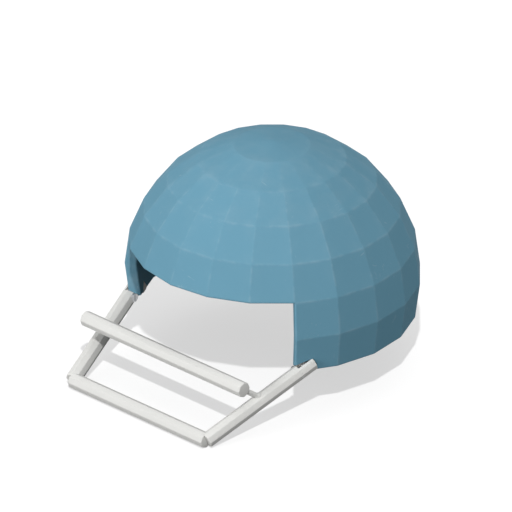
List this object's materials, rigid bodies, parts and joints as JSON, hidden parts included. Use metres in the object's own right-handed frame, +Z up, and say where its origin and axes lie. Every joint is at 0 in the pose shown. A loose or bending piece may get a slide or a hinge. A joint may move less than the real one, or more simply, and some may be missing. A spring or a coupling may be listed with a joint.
{
  "type": "sports helmet",
  "caption": "Faceted protective sports helmet with a face opening, padded liner and a two-bar face guard that tilts up on friction pivots at the jaw corners.",
  "frame": {"origin": "centre of the shell's sphere, which is the middle of the head space", "axes": "+Z points up to the crown, -Y points out of the face opening, +X completes a right-handed frame"},
  "size_m": [0.26, 0.2995, 0.2116],
  "materials": {
    "shell_moulding": "satin steel-blue moulded plastic with a fine texture",
    "bar_moulding": "matt off-white moulded nylon",
    "steel": "zinc-plated steel",
    "firm_foam": "charcoal bead foam",
    "pad_cover": "dark grey knitted cover over soft foam",
    "washer_nylon": "black nylon"
  },
  "bodies": {
    "helmet": {"shell": "shell_moulding", "left_hinge_plate": "steel", "right_hinge_plate": "steel", "foam_studs": "steel", "brow_foam_block": "firm_foam", "crown_foam_block": "firm_foam", "left_side_foam_block": "firm_foam", "right_side_foam_block": "firm_foam", "left_rear_foam_block": "firm_foam", "right_rear_foam_block": "firm_foam", "nape_foam_block": "firm_foam", "brow_pad": "pad_cover", "crown_pad": "pad_cover", "left_side_pad": "pad_cover", "right_side_pad": "pad_cover", "left_rear_pad": "pad_cover", "right_rear_pad": "pad_cover", "nape_pad": "pad_cover"},
    "guard": {"chin_bar": "bar_moulding", "cross_bar": "bar_moulding", "left_side_bar": "bar_moulding", "right_side_bar": "bar_moulding", "left_stay": "bar_moulding", "right_stay": "bar_moulding", "corner_dowels": "steel", "left_pivot_screw": "steel", "right_pivot_screw": "steel", "friction_washers": "washer_nylon"}
  },
  "joints": [
    {"name": "guard_tilt", "type": "hinge", "parent": "helmet", "child": "guard", "pos_m": [0, -0.07131, -0.03315], "axis": [-1, 0, 0], "range_deg": [0, 25]}
  ]
}
